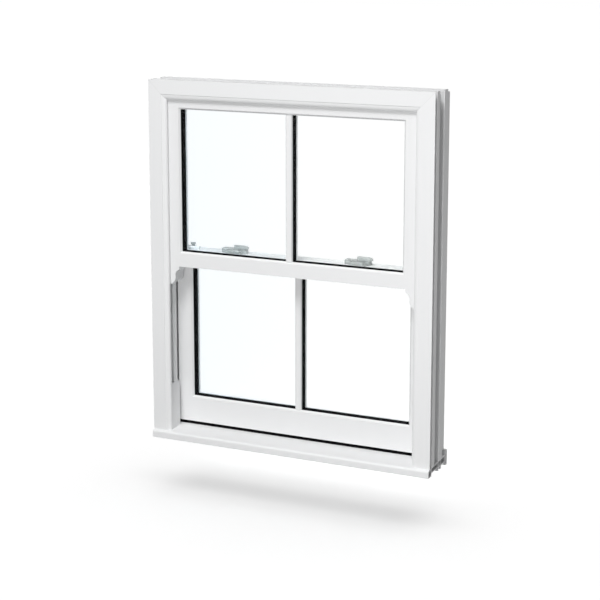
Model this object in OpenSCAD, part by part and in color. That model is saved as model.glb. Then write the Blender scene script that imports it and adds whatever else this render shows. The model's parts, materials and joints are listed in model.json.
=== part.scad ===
// Vertical sliding sash window: mitred hollow frame on an open-ended sill, two double-glazed
// sashes on spiral balances, run-through horns on the upper sash, cam catches and tilt latches.
// X runs across the window, Y from outside to room, Z up. The origin is the middle of the sill's underside.

/* [Frame] */
// Overall width of the frame
frame_w = 900; // [820:10:1300]
// Overall height, from the sill's underside to the top of the head
frame_h = 1092; // [1080:4:1500]
// Depth of the frame's outer part, in front of the step for the plaster
wall_d = 118; // [112:1:124]
// Width of the flat outside face of the frame
face_w = 42; // [36:1:46]
// Width of the ovolo moulding inside the flat face
ovolo_w = 16; // [12:1:20]
// Depth of the ovolo moulding
ovolo_d = 10; // [7:1:11]
// Depth of the outside flange, front face to sash channel
flange_d = 13; // [12.5:0.5:16]
// Distance from the frame's edge to the floor of the balance grooves
groove_floor = 32; // [30:0.5:33]
// Distance from the frame's edge to the lands that the sash edges run over
land_top = 45; // [44:0.5:46]
// Width of each balance groove
groove_w = 35; // [34:0.5:38]
// Wall of the frame and sill profiles
frame_wall = 2.8; // [2:0.1:3.2]

/* [Sill] */
// Height of the sill where it passes under the outside face of the jambs
sill_foot = 24; // [22:0.5:28]
// Slope of the sill's weathered top, in degrees
sill_slope = 4; // [3:0.5:5]
// Reach of the nose in front of the jambs
nose_out = 9; // [6:1:16]
// Radius of the nose's upper edge
nose_r = 8; // [2:0.5:10]
// Height of the upstand on the room side
upstand_h = 45; // [40:1:52]
// Height of the hollows under the sill, between its feet
foot_h = 10; // [6:0.5:12]

/* [Sashes] */
// Thickness of both sashes
sash_t = 48; // [46:0.5:52]
// Width of stiles and of the upper sash's top rail
stile_w = 50; // [48:1:60]
// Height of the two meeting rails
meeting_h = 46; // [44:1:56]
// Height of the lower sash's bottom rail
bottom_h = 81; // [70:1:110]
// Distance from the frame's edge to the sash's edge, at the jambs
sash_edge = 46.5; // [46.5:0.5:48]
// Distance from the frame's top to the upper sash's top edge
sash_top = 36; // [35:0.5:40]
// Height of the underside of the upper sash's meeting rail
meeting_z = 535; // [470:5:560]
// Gap between the sashes
sash_gap = 14; // [13:0.5:16]
// Gap between the sill's slope and the bottom rail, filled by the black seal
sill_gap = 10; // [8:0.5:14]
// Wall of the sash profiles
sash_wall = 2.6; // [2:0.1:3]
// Height of the horns under the upper sash
horn_h = 58; // [54:1:70]
// Width of a glazing bar
bar_w = 20; // [16:1:30]

/* [Glazing] */
// Thickness of the outside lip that the glass beds against
lip_t = 7; // [6:0.5:8]
// Thickness of the black outside gasket
gasket_t = 3; // [2:0.5:4]
// Thickness of one glass pane
pane_t = 4; // [3:0.5:5]
// Width of the space between the panes
cavity_t = 20; // [16:1:21]
// Overlap of the lip and beads on the glass
edge_cover = 14; // [12:0.5:16]
// Depth of the glazing rebate
rebate_d = 20; // [18:0.5:22]

/* [Working parts] */
// How far the upper sash slides down before its horns reach the stop blocks
upper_travel = 300; // [200:10:320]
// How far the lower sash slides up
lower_travel = 400; // [250:10:410]
// Outside diameter of a balance tube
tube_d = 13; // [11:0.5:13]
// Width of a spiral rod
rod_w = 6; // [4:0.5:7]
// Height of a balance shoe
shoe_h = 50; // [40:1:60]
// Distance of each cam catch's pivot from the window's centre line
catch_x = 200; // [140:5:230]
// Length of a cam catch's base
catch_l = 79; // [72:1:90]
// Length of a catch lever, from its pivot
lever_l = 34; // [28:1:36]
// Travel of the tilt latches
latch_travel = 11; // [9:0.5:12]
// Distance of a tilt latch's knob from the sash's edge
knob_in = 52; // [42:1:60]
// Width of a finger lift
lift_w = 62; // [40:1:90]
// Distance of the finger lifts from the window's centre line
lift_x = 190; // [120:5:240]

/* [Hidden] */
$fn = 48;
// Clearances: between sliding pieces, fixed pieces, soft or light seats, at mitres, and a cutter's overshoot
run_gap = 0.5;
fit_gap = 0.1;
seat_gap = 0.3;
mitre_gap = 0.1;
over = 1;

half_w = frame_w / 2;
flange_in = face_w + ovolo_w;
flange_gap = 2;
upper_v = flange_d + flange_gap;
lower_v = upper_v + sash_t + sash_gap;
room_margin = 14;
frame_d = lower_v + sash_t + room_margin;
mid_d = frame_d / 2;
outer_groove = [flange_d, flange_d + groove_w];
groove_lead = 8;
inner_groove = [lower_v - groove_lead, lower_v - groove_lead + groove_w];

// Lands on the frame's outer side, the depth of the grooves between them, and the room-side step
side_lip = 2;
side_front = [16, 36];
back_land = [46, 20];
side_back = [wall_d - back_land[0], wall_d - back_land[1]];
side_in = 8;
key_in = 12;
side_run = 2;
room_step = 10;

sash_half = half_w - sash_edge;
sight_half = sash_half - stile_w;
upper_top = frame_h - sash_top;
upper_sight = [meeting_z + meeting_h, upper_top - stile_w];
lower_bottom = sill_top(lower_v) + sill_gap;
rail_step = 4;
lower_top = meeting_z + meeting_h - rail_step;
lower_sight = [lower_bottom + bottom_h, lower_top - meeting_h];

// The moulding on the sash's sight edge, as wide as the cope at the corners
cope = 9;
bevel_w = 5;
bevel_d = 5.5;
glass_w = lip_t + gasket_t;
unit_t = 2 * pane_t + cavity_t;
bead_w = glass_w + unit_t;
gasket_back = 2;
spacer_h = 10;
body_w = stile_w - rebate_d;

tube_u = (groove_floor + sash_edge) / 2;
tube_wall = 1;
tube_inset = [4, 1];
tube_v = [outer_groove[0] + tube_inset[0] + tube_d / 2, inner_groove[1] - tube_inset[1] - tube_d / 2];
tube_short = 12;
tube_top = frame_h - sash_top - tube_short;
shoe_up = 8;
shoe_z = [meeting_z + shoe_up, lower_bottom + shoe_up];
pivot_up = 14;
pivot_z = [shoe_z[0] + pivot_up, shoe_z[1] + pivot_up];
pivot_edge = 4;
pivot_h = 6;
pivot_d = 10;
pivot_end = 4;
pivot_in = body_w - pivot_end;
nose_reach = 10;

stop_gap = 7;
stop_z = meeting_z - horn_h - upper_travel - stop_gap;

catch_in = 11;
catch_v = lower_v + catch_in;
catch_d = 24;
catch_front = 9;
catch_right = 27;
spindle_d = 8;
spindle_gap = 0.05;
keeper_l = 36;
keeper_ear = 9;
keeper_t = 2;
keeper_slot = 6;
bead_flat = 6;
tongue_t = 3;
tongue_w = 12;
tongue_z = upper_sight[0] + keeper_t + (keeper_slot - tongue_t) / 2;
tongue_stop = 3;
tongue_r = catch_v - (upper_v + bead_w) - keeper_t - tongue_stop;
cover_t = 2;
lever_z = tongue_z + tongue_t + cover_t + 2 * run_gap;
lever_h = 10;
lever_w = 14;
lever_back = 13;

// Height of the sill's sloping top at a depth v behind the outside face
function sill_top(v) = sill_foot + v * tan(sill_slope);

// Points on a quarter of an ellipse, between two angles
function arc(centre, size, from, to, steps = 10) =
    [for (i = [0:steps]) let (t = from + (to - from) * i / steps)
        [centre[0] + size[0] * cos(t), centre[1] + size[1] * sin(t)]];

module mirror_x(side) {
    if (side < 0) children();
    else mirror([1, 0, 0]) children();
}

// Places something made at a jamb, u from the frame's left edge and v from its outside face
module at_jamb(side) {
    mirror_x(side) translate([-half_w, -mid_d, 0]) children();
}

module rect(low, high) {
    translate(low) square(high - low);
}

// FRAME
// The jambs' middle land starts after the outer groove, the head's only behind the upper sash
jamb_land = outer_groove[1];
land_gap = 2;
head_land = upper_v + sash_t + land_gap;
quirk = [1, 1.5];

module frame_outline(land_v) {
    f = side_front;
    b = side_back;
    run = side_run;
    polygon(concat(
        [[0, 0], [face_w, 0]],
        arc([face_w + quirk[0], ovolo_d], [ovolo_w - quirk[0], ovolo_d - quirk[1]], -90, 0),
        [[flange_in, flange_d], [groove_floor, flange_d], [groove_floor, land_v],
         [land_top, land_v], [land_top, inner_groove[0]], [groove_floor, inner_groove[0]],
         [groove_floor, inner_groove[1]], [land_top, inner_groove[1]], [land_top, frame_d],
         [room_step, frame_d], [room_step, wall_d], [side_in, wall_d], [side_in, b[1] + run], [0, b[1]],
         [0, b[0]], [key_in, b[0] - run], [key_in, f[1] + run], [0, f[1]],
         [0, f[0]], [side_in, f[0] - run], [side_in, side_lip + run], [0, side_lip]]));
}

module frame_chambers(land_v) {
    w = frame_wall;
    back = min(side_back[0], inner_groove[0]) - w;
    floor_u = groove_floor - w;
    rect([side_in + w, w], [face_w, flange_d - w]);
    rect([w, side_front[0] + w / 2], [floor_u, side_front[1] - w]);
    rect([key_in + w, side_front[1]], [floor_u, min(land_v, back)]);
    if (land_v + w < back) rect([key_in + w, land_v + w], [land_top - w, back]);
    rect([w, side_back[0] + w / 2], [floor_u, side_back[1] - w]);
    rect([side_in + w, side_back[1]], [floor_u, inner_groove[1]]);
    rect([room_step + w, inner_groove[1] + w], [land_top - w, frame_d - w]);
}

module frame_profile(land_v) {
    difference() {
        frame_outline(land_v);
        frame_chambers(land_v);
    }
}

// Half-space above (side +1) or below (side -1) the mitre at the frame's top left corner
module mitre_cut(side) {
    size = frame_w;
    translate([-half_w, -frame_d, frame_h]) rotate([0, 45, 0])
        translate([-size, 0, side > 0 ? 0 : -size]) cube([2 * size, 3 * frame_d, size]);
}

module jamb(side) {
    color("white") difference() {
        at_jamb(side) linear_extrude(frame_h) frame_profile(jamb_land);
        mirror_x(side) mitre_cut(1);
        along_x(frame_w + 2 * over) sill_envelope();
        for (i = [0, 1]) tube_screw(side, i, fit_gap);
    }
}

// Extrudes a depth-height outline across the window, centred
module along_x(length) {
    rotate([90, 0, 90]) linear_extrude(length, center = true) translate([-mid_d, 0]) children();
}

module frame_head() {
    color("white") difference() {
        along_x(frame_w) translate([0, frame_h]) rotate(-90) frame_profile(head_land);
        for (side = [-1, 1]) mirror_x(side) mitre_cut(-1);
    }
}

module frame_jamb_left() {
    jamb(-1);
}

module frame_jamb_right() {
    jamb(1);
}

// SILL
upstand_v = lower_v + sash_t + land_gap;
front_foot = 15;
leg_t = 5;
leg_pitch = 20;
leg_v = [mid_d, mid_d + leg_pitch];
sill_feet = [[-nose_out, front_foot], [leg_v[0] - leg_t / 2, leg_v[0] + leg_t / 2],
    [leg_v[1] - leg_t / 2, leg_v[1] + leg_t / 2], [upstand_v, frame_d]];
nose_round = min(nose_r, nose_out);

module sill_envelope() {
    polygon([[-nose_out - over, -over], [-nose_out - over, sill_top(-nose_out - over)],
        [upstand_v, sill_top(upstand_v)], [upstand_v, upstand_h], [frame_d + over, upstand_h],
        [frame_d + over, -over]]);
}

// Points round the nose, a wall's thickness below the sill's top
function nose(v, r, wall) = arc([v, sill_top(v) - wall - r], [r, r], 180, 90, 6);

module sill_outline() {
    difference() {
        polygon(concat(
            [[-nose_out, 0]], nose(nose_round - nose_out, nose_round, 0),
            [[upstand_v, sill_top(upstand_v)], [upstand_v, upstand_h], [frame_d, upstand_h],
             [frame_d, 0]]));
        for (i = [0:2]) rect([sill_feet[i][1], -over], [sill_feet[i + 1][0], foot_h]);
    }
}

module sill_chamber(v0, v1, z0) {
    w = frame_wall;
    polygon([[v0, z0], [v1, z0], [v1, sill_top(v1) - w], [v0, sill_top(v0) - w]]);
}

module frame_sill() {
    w = frame_wall;
    inner = foot_h + w;
    round_in = max(nose_round - w, run_gap);
    color("white") along_x(frame_w) difference() {
        sill_outline();
        polygon(concat([[w - nose_out, w]], nose(w - nose_out + round_in, round_in, w),
            [[front_foot - w, sill_top(front_foot - w) - w], [front_foot - w, w]]));
        sill_chamber(front_foot, leg_v[0] - w / 2, inner);
        sill_chamber(leg_v[0] + w / 2, leg_v[1] - w / 2, inner);
        sill_chamber(leg_v[1] + w / 2, upstand_v - w, inner);
        rect([upstand_v + w, w], [frame_d - w, upstand_h - w]);
    }
}

// Black seal that the bottom rail closes on, set a little behind the rail's face
seal_in = 2;
seal_t = 7;
seal_lip = 3;

module sill_seal() {
    seal_v = lower_v + seal_in;
    shoulder = lower_bottom - seal_lip;
    color("black") along_x(2 * (half_w - land_top) - 2 * run_gap)
        polygon([[seal_v, sill_top(seal_v)], [seal_v + seal_t, sill_top(seal_v + seal_t)],
            [seal_v + seal_t, shoulder], [seal_v + seal_t / 2, lower_bottom - seat_gap], [seal_v, shoulder]]);
}

// Pile strips on the back of the outside flange
pile_in = 8;

module frame_pile() {
    pile = [6, flange_gap - seat_gap];
    pile_u = flange_in - pile_in;
    color("gray") {
        for (side = [-1, 1])
            at_jamb(side) translate([pile_u, flange_d, stop_z + over])
                cube([pile[0], pile[1], frame_h - pile_u - pile[0] - stop_z - 2 * over]);
        translate([-half_w + pile_u, flange_d - mid_d, frame_h - pile_u - pile[0]])
            cube([frame_w - 2 * pile_u, pile[1], pile[0]]);
    }
}

// Blocks in the outer channel that stop the upper sash, with sloping tops
stop_set = 1;
stop_back = 2;
stop_slope = 30;

module stop_block(side) {
    face_u = flange_in - stop_set;
    back_v = upper_v + sash_t - stop_back;
    color("whitesmoke") difference() {
        at_jamb(side) union() {
            translate([land_top, flange_d + fit_gap, 0])
                cube([face_u - land_top, back_v - flange_d - fit_gap, stop_z]);
            translate([groove_floor + fit_gap, flange_d + fit_gap, 0])
                cube([land_top - groove_floor, groove_w - 2 * fit_gap, stop_z]);
        }
        along_x(frame_w) sill_envelope();
        at_jamb(side) translate([face_u, 0, stop_z]) rotate([0, -stop_slope, 0])
            translate([-2 * face_u, 0, 0]) cube([3 * face_u, frame_d, face_u]);
    }
}

module stop_block_left() {
    stop_block(-1);
}

module stop_block_right() {
    stop_block(1);
}

// SASHES
module sash_outline(width) {
    polygon([[0, 0], [width - bevel_w, 0], [width, bevel_d], [width, lip_t], [width - rebate_d, lip_t],
        [width - rebate_d, sash_t], [0, sash_t]]);
}

module sash_chambers(width) {
    w = sash_wall;
    depth = (sash_t - 3 * w) / 2;
    for (i = [0, 1])
        translate([w, w + i * (depth + w)]) square([width - rebate_d - 2 * w, depth]);
}

// Front view of a stile's outside face: its corners are coped to the mouldings of the rails
module stile_front(z0, z1, sight) {
    inner = stile_w - cope;
    polygon([[0, z0], [inner, z0], [inner, sight[0] - cope], [stile_w, sight[0]],
        [stile_w, sight[1]], [inner, sight[1] + cope], [inner, z1], [0, z1]]);
}

// Places something made at a sash's left edge, p from the edge and w from its outside face
module at_sash(side, v) {
    mirror_x(side) translate([-sash_half, v - mid_d, 0]) children();
}

module front_prism(depth) {
    rotate([90, 0, 0]) translate([0, 0, -depth]) linear_extrude(depth + over) children();
}

// A stile, closed at the end that shows
end_wall = 4;

module stile(side, v, z0, z1, sight, open_top) {
    cap = open_top ? -over : end_wall;
    foot = open_top ? end_wall : -over;
    at_sash(side, v) intersection() {
        difference() {
            translate([0, 0, z0]) linear_extrude(z1 - z0) sash_outline(stile_w);
            translate([0, 0, z0 + foot]) linear_extrude(z1 - z0 - foot - cap) sash_chambers(stile_w);
        }
        front_prism(sash_t + over) stile_front(z0, z1, sight);
    }
}

// A rail between the stiles; dir +1 has its glass above, -1 below
module rail(v, edge_z, width, dir, z0, z1, sight) {
    length = 2 * (sash_half - body_w);
    difference() {
        translate([0, v - mid_d, edge_z]) mirror([0, 0, dir > 0 ? 0 : 1])
            rotate([90, 0, 90]) linear_extrude(length, center = true) mirror([1, -1, 0])
                difference() {
                    sash_outline(width);
                    sash_chambers(width);
                }
        for (side = [-1, 1]) at_sash(side, v) front_prism(lip_t) stile_front(z0, z1, sight);
    }
}

// Ogee horn below a stile: a short lead, a cove, then a round bulge to the stile's edge
module horn_front(z0) {
    width = stile_w - cope;
    neck = 28;
    lead = 10;
    cove_h = 18;
    bulge_h = 24;
    polygon(concat([[0, z0], [width, z0], [width, z0 - lead]],
        arc([width, z0 - lead - cove_h], [width - neck, cove_h], 90, 180),
        arc([0, z0 - horn_h + bulge_h], [neck, bulge_h], 0, -90)));
}

// Slots for a tilt latch in the top corner of the upper sash
latch_p = 15;
latch_w = 21;
latch_h = 8;
latch_d = 10;
latch_neck = [8, 6];
bolt_tail = 8;

module upper_latch_slot(side) {
    z = upper_top - latch_p;
    gap = run_gap;
    at_sash(side, upper_v) {
        translate([-over, latch_w - gap, z - latch_h / 2 - gap])
            cube([knob_in + bolt_tail + latch_travel + 4 * over, latch_d + 2 * gap, latch_h + 2 * gap]);
        translate([knob_in - latch_neck[0] / 2 - gap, latch_w, z - latch_neck[1] / 2 - gap])
            cube([latch_neck[0] + latch_travel + 2 * gap, sash_t, latch_neck[1] + 2 * gap]);
    }
}

module pivot_slot(side, v, i) {
    at_sash(side, v) translate([-over, pivot_w(i) - fit_gap, pivot_z[i] - fit_gap])
        cube([pivot_in + over + fit_gap, pivot_d + 2 * fit_gap, pivot_h + 2 * fit_gap]);
}

// Depth of a pivot bar behind its sash's outside face
function pivot_w(i) = i == 0 ? outer_groove[1] - upper_v - pivot_edge - pivot_d : pivot_edge;

module upper_stile(side) {
    color("white") difference() {
        union() {
            stile(side, upper_v, meeting_z, upper_top, upper_sight, true);
            at_sash(side, upper_v) rotate([90, 0, 0]) translate([0, 0, -sash_t])
                linear_extrude(sash_t) horn_front(meeting_z);
        }
        upper_latch_slot(side);
        pivot_slot(side, upper_v, 0);
    }
}

module upper_stile_left() {
    upper_stile(-1);
}

module upper_stile_right() {
    upper_stile(1);
}

module upper_top_rail() {
    color("white") difference() {
        rail(upper_v, upper_top, stile_w, -1, meeting_z, upper_top, upper_sight);
        for (side = [-1, 1]) upper_latch_slot(side);
    }
}

module upper_meeting_rail() {
    color("white") rail(upper_v, meeting_z, meeting_h, 1, meeting_z, upper_top, upper_sight);
}

module lower_stile(side) {
    color("white") difference() {
        stile(side, lower_v, lower_bottom, lower_top, lower_sight, false);
        pivot_slot(side, lower_v, 1);
    }
}

module lower_stile_left() {
    lower_stile(-1);
}

module lower_stile_right() {
    lower_stile(1);
}

module lower_top_rail() {
    color("white") rail(lower_v, lower_top, meeting_h, -1, lower_bottom, lower_top, lower_sight);
}

module lower_bottom_rail() {
    color("white") rail(lower_v, lower_bottom, bottom_h, 1, lower_bottom, lower_top, lower_sight);
}

// Lips on the meeting rails that overlap when the window is shut
interlock_t = 3;
lip_reach = sash_gap - interlock_t;
interlock_plate = [2, 14];
interlock_step = 8;
interlock_z = meeting_z + interlock_plate[1];
module upper_interlock() {
    color("white") along_x(2 * sight_half) interlock_lip(upper_v + sash_t, 1, interlock_z);
}

module lower_interlock() {
    color("white") along_x(2 * sight_half) interlock_lip(lower_v, -1, interlock_z + interlock_step);
}

// A lip on a thin plate; dir is the side of the rail that it stands out on
module interlock_lip(v, dir, z) {
    translate([v, z]) mirror([dir > 0 ? 0 : 1, 0]) {
        square([lip_reach, interlock_t]);
        translate([0, dir > 0 ? interlock_t - interlock_plate[1] : 0]) square(interlock_plate);
    }
}

// GLAZING
// A ring round the sight opening, flush with it on the inside
module window_ring(v0, depth, sight, outer) {
    translate([0, v0 - mid_d + depth, 0]) rotate([90, 0, 0]) linear_extrude(depth) difference() {
        rect([-sight_half - outer, sight[0] - outer], [sight_half + outer, sight[1] + outer]);
        rect([-sight_half, sight[0]], [sight_half, sight[1]]);
    }
}

module pane(v0, sight) {
    size = [sight_half + edge_cover, pane_t];
    color("lightcyan", 0.4) translate([-size[0], v0 - mid_d, sight[0] - edge_cover])
        cube([2 * size[0], size[1], sight[1] - sight[0] + 2 * edge_cover]);
}

// Spacer bar round the unit, with the dummy spacer behind the glazing bar
bar_cover = 1;

module spacer(v, sight) {
    dummy_w = bar_w - 2 * bar_cover;
    color("black") union() {
        window_ring(v + glass_w + pane_t, cavity_t, sight, spacer_h);
        translate([-dummy_w / 2, v + glass_w + pane_t - mid_d, sight[0] - over])
            cube([dummy_w, cavity_t, sight[1] - sight[0] + 2 * over]);
    }
}

module gasket(v, sight) {
    color("black") window_ring(v + lip_t, gasket_t, sight, edge_cover - gasket_back);
}

// Four mitred glazing beads on the room side
module beads(v, sight) {
    low = [-sight_half - rebate_d, sight[0] - rebate_d];
    high = [sight_half + rebate_d, sight[1] + rebate_d];
    color("white") for (turn = [0:3]) intersection() {
        bead_side(v, low, high, turn);
        translate([0, v + sash_t - mid_d + over, 0]) rotate([90, 0, 0]) linear_extrude(sash_t)
            bead_front(low, high, turn);
    }
}

// Section of a bead, with a quarter-round edge to the room
module bead_profile() {
    depth = sash_t - bead_w;
    r = depth - bead_flat;
    polygon(concat([[0, 0], [rebate_d, 0]], arc([rebate_d - r, bead_flat], [r, r], 0, 90, 4), [[0, depth]]));
}

module bead_side(v, low, high, turn) {
    if (turn % 2 == 0) mirror_x(turn - 1) translate([low[0], v + bead_w - mid_d, low[1]])
        linear_extrude(high[1] - low[1]) bead_profile();
    else translate([0, v + bead_w - mid_d, turn == 1 ? low[1] : high[1]]) mirror([0, 0, turn == 1 ? 0 : 1])
        rotate([90, 0, 90]) linear_extrude(high[0] - low[0], center = true)
            mirror([1, -1, 0]) bead_profile();
}

// Front view of one bead, cut at 45 degrees at both ends
module bead_front(low, high, turn) {
    d = rebate_d;
    g = mitre_gap;
    if (turn % 2 == 0) mirror([turn == 0 ? 0 : 1, 0])
        polygon([[low[0], low[1] + g], [low[0] + d, low[1] + d + g], [low[0] + d, high[1] - d - g],
            [low[0], high[1] - g]]);
    else translate([0, turn == 1 ? low[1] : high[1]]) mirror([0, turn == 1 ? 0 : 1])
        polygon([[low[0] + g, 0], [high[0] - g, 0], [high[0] - d - g, d], [low[0] + d + g, d]]);
}

// Glazing bar on one face of the unit, with bevelled edges
module glazing_bar(v0, depth, sight, dir) {
    edge = 3;
    color("white") translate([0, v0 - mid_d, sight[0]]) mirror([0, dir > 0 ? 0 : 1, 0])
        linear_extrude(sight[1] - sight[0])
            polygon([[-bar_w / 2, 0], [bar_w / 2, 0], [bar_w / 2, depth - edge], [bar_w / 2 - edge, depth],
                [edge - bar_w / 2, depth], [-bar_w / 2, depth - edge]]);
}

bar_d = 8;

module upper_outer_pane() {
    pane(upper_v + glass_w, upper_sight);
}

module upper_inner_pane() {
    pane(upper_v + bead_w - pane_t, upper_sight);
}

module upper_spacer() {
    spacer(upper_v, upper_sight);
}

module upper_gasket() {
    gasket(upper_v, upper_sight);
}

module upper_beads() {
    beads(upper_v, upper_sight);
}

module upper_bar_outside() {
    glazing_bar(upper_v + glass_w, bar_d, upper_sight, -1);
}

module upper_bar_inside() {
    glazing_bar(upper_v + bead_w, bar_d, upper_sight, 1);
}

module lower_outer_pane() {
    pane(lower_v + glass_w, lower_sight);
}

module lower_inner_pane() {
    pane(lower_v + bead_w - pane_t, lower_sight);
}

module lower_spacer() {
    spacer(lower_v, lower_sight);
}

module lower_gasket() {
    gasket(lower_v, lower_sight);
}

module lower_beads() {
    beads(lower_v, lower_sight);
}

module lower_bar_outside() {
    glazing_bar(lower_v + glass_w, bar_d, lower_sight, -1);
}

module lower_bar_inside() {
    glazing_bar(lower_v + bead_w, bar_d, lower_sight, 1);
}

// BALANCES
// The upper rods are drawn into their tubes at rest, the lower rods are drawn out
rod_spare = 60;
rod_seat = 12;
rod_low = [shoe_z[0] + shoe_h - rod_seat, shoe_z[1] + shoe_h - rod_seat];
tube_gap = 12;
tube_low = [shoe_z[0] + shoe_h + tube_gap, shoe_z[1] + shoe_h + lower_travel + tube_gap];
rod_top_gap = 24;
rod_high = [min(tube_top - rod_top_gap, tube_low[0] + upper_travel + rod_spare), tube_low[1] + rod_spare];

bush_h = 14;
head_cut = 18;
screw_down = 8;
screw_z = tube_top - screw_down;
screw_d = 4;
screw_head = [7, 2];
screw_grip = 7;
bore_r = tube_d / 2 - tube_wall;
screw_seat = tube_u - sqrt(bore_r * bore_r - pow(screw_head[0] / 2, 2)) + fit_gap;

// A tube with a bush at its foot; its head is cut to half its round, for the screw
module balance_tube(side, i) {
    length = tube_top - tube_low[i];
    color("gainsboro") difference() {
        at_jamb(side) translate([tube_u, tube_v[i], tube_low[i]]) difference() {
            cylinder(d = tube_d, h = length);
            translate([0, 0, bush_h]) cylinder(r = bore_r, h = length);
            translate([0, 0, -over]) cylinder(d = rod_w + 2 * run_gap, h = bush_h + 2 * over);
            translate([0, -tube_d, length - head_cut]) cube([tube_d, 2 * tube_d, tube_d + head_cut]);
        }
        tube_screw(side, i, fit_gap);
    }
}

// Screw that holds a tube's head to the jamb; gap widens it to cut its hole
module tube_screw(side, i, gap) {
    at_jamb(side) translate([groove_floor - screw_grip, tube_v[i], screw_z]) rotate([0, 90, 0])
        cylinder(d = screw_d + 2 * gap, h = screw_seat - groove_floor + screw_grip);
}

module upper_tube_left() {
    balance_tube(-1, 0);
}

module upper_tube_right() {
    balance_tube(1, 0);
}

module lower_tube_left() {
    balance_tube(-1, 1);
}

module lower_tube_right() {
    balance_tube(1, 1);
}

module tube_screws() {
    color("silver") for (side = [-1, 1], i = [0, 1]) {
        tube_screw(side, i, 0);
        at_jamb(side) translate([screw_seat, tube_v[i], screw_z]) rotate([0, 90, 0])
            cylinder(d = screw_head[0], h = screw_head[1]);
    }
}

// Rod of a spiral balance, as the round bar that its turns fill
module spiral_rod(side, i) {
    color("silver") at_jamb(side) translate([tube_u, tube_v[i], rod_low[i]])
        cylinder(d = rod_w, h = rod_high[i] - rod_low[i]);
}

module upper_rod_left() {
    spiral_rod(-1, 0);
}

module upper_rod_right() {
    spiral_rod(1, 0);
}

module lower_rod_left() {
    spiral_rod(-1, 1);
}

module lower_rod_right() {
    spiral_rod(1, 1);
}

// Shoe that slides in a balance groove and carries the sash on its pivot bar, slit to grip when it tilts
shoe_corner = 5;
shoe_slit = 2;

module shoe_outline(width) {
    c = shoe_corner;
    polygon([[c, 0], [width - c, 0], [width, c], [width, shoe_h - c], [width - c, shoe_h], [c, shoe_h],
        [0, shoe_h - c], [0, c]]);
}

module shoe(side, i) {
    groove = i == 0 ? outer_groove : inner_groove;
    v = i == 0 ? upper_v : lower_v;
    color("dimgray") difference() {
        at_jamb(side) translate([groove_floor + run_gap, groove[0] + run_gap, shoe_z[i]])
            rotate([90, 0, 90]) linear_extrude(sash_edge - groove_floor - 2 * run_gap)
                shoe_outline(groove_w - 2 * run_gap);
        at_sash(side, v) translate([-groove_floor, pivot_w(i) + (pivot_d - shoe_slit) / 2, shoe_z[i] - over])
            cube([2 * groove_floor, shoe_slit, pivot_z[i] - shoe_z[i] + over]);
        at_jamb(side) translate([tube_u, tube_v[i], rod_low[i] - fit_gap])
            cylinder(d = rod_w + 2 * fit_gap, h = shoe_h);
        at_sash(side, v) translate([-nose_reach - fit_gap, pivot_w(i) - fit_gap, pivot_z[i] - fit_gap])
            cube([nose_reach + over, pivot_d + 2 * fit_gap, pivot_h + 2 * fit_gap]);
    }
}

module upper_shoe_left() {
    shoe(-1, 0);
}

module upper_shoe_right() {
    shoe(1, 0);
}

module lower_shoe_left() {
    shoe(-1, 1);
}

module lower_shoe_right() {
    shoe(1, 1);
}

// Flat bars that a sash hangs on and would tilt about
module pivots(v, i) {
    color("silver") for (side = [-1, 1])
        at_sash(side, v) translate([-nose_reach, pivot_w(i), pivot_z[i]])
            cube([nose_reach + pivot_in, pivot_d, pivot_h]);
}

module upper_pivots() {
    pivots(upper_v, 0);
}

module lower_pivots() {
    pivots(lower_v, 1);
}

// Steel channels inside the sash profiles
module steel(v, z0, z1, rails) {
    t = 1.5;
    w = sash_wall + fit_gap;
    depth = (sash_t - 3 * sash_wall) / 2 - 2 * fit_gap;
    front = v + w - mid_d;
    color("lightslategray") {
        for (side = [-1, 1]) mirror_x(side) translate([w - sash_half, front, z0]) linear_extrude(z1 - z0)
            channel(body_w - 2 * w, depth, t);
        for (r = rails) translate([0, front, r[0] + w]) rotate([90, 0, 90])
            linear_extrude(2 * sight_half - 2 * r[2], center = true) mirror([1, -1, 0])
                channel(r[1] - 2 * w, depth, t);
    }
}

module channel(width, depth, t) {
    difference() {
        square([width, depth]);
        translate([t, t]) square([width - 2 * t, depth]);
    }
}

// The steel stops short of the pivots and of the latches
steel_short = 40;

module upper_steel() {
    latch_short = knob_in + latch_travel;
    steel(upper_v, pivot_z[0] + steel_short, upper_top - latch_short,
        [[upper_top - body_w, body_w, latch_short], [meeting_z, meeting_h - rebate_d, 0]]);
}

module lower_steel() {
    steel(lower_v, pivot_z[1] + steel_short, lower_top - steel_short,
        [[lower_bottom, bottom_h - rebate_d, 0],
         [lower_top - meeting_h + rebate_d, meeting_h - rebate_d, 0]]);
}

// CATCHES AND LATCHES
// Bridges on the upper sash that the cam tongues turn under
module keepers() {
    v = upper_v + bead_w + fit_gap;
    d = sash_t - bead_w - fit_gap;
    z = upper_sight[0];
    color("silver") for (side = [-1, 1]) translate([side * catch_x, 0, 0]) {
        along_x(keeper_l) {
            rect([v, z], [v + keeper_t, z + 2 * keeper_t + keeper_slot]);
            rect([v, z + keeper_t + keeper_slot], [v + d, z + 2 * keeper_t + keeper_slot]);
        }
        translate([0, v - mid_d, z]) linear_extrude(keeper_t)
            cut_rect([-keeper_l / 2 - keeper_ear, 0], [keeper_l / 2 + keeper_ear, d], keeper_t);
    }
}

// A rectangle with its corners cut off
module cut_rect(low, high, c) {
    polygon([[low[0] + c, low[1]], [high[0] - c, low[1]], [high[0], low[1] + c], [high[0], high[1] - c],
        [high[0] - c, high[1]], [low[0] + c, high[1]], [low[0], high[1] - c], [low[0], low[1] + c]]);
}

// A rectangle with round corners
module round_rect(low, high, r) {
    rect([low[0] + r, low[1]], [high[0] - r, high[1]]);
    rect([low[0], low[1] + r], [high[0], high[1] - r]);
    for (x = [low[0] + r, high[0] - r], y = [low[1] + r, high[1] - r]) translate([x, y]) circle(r);
}

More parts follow.
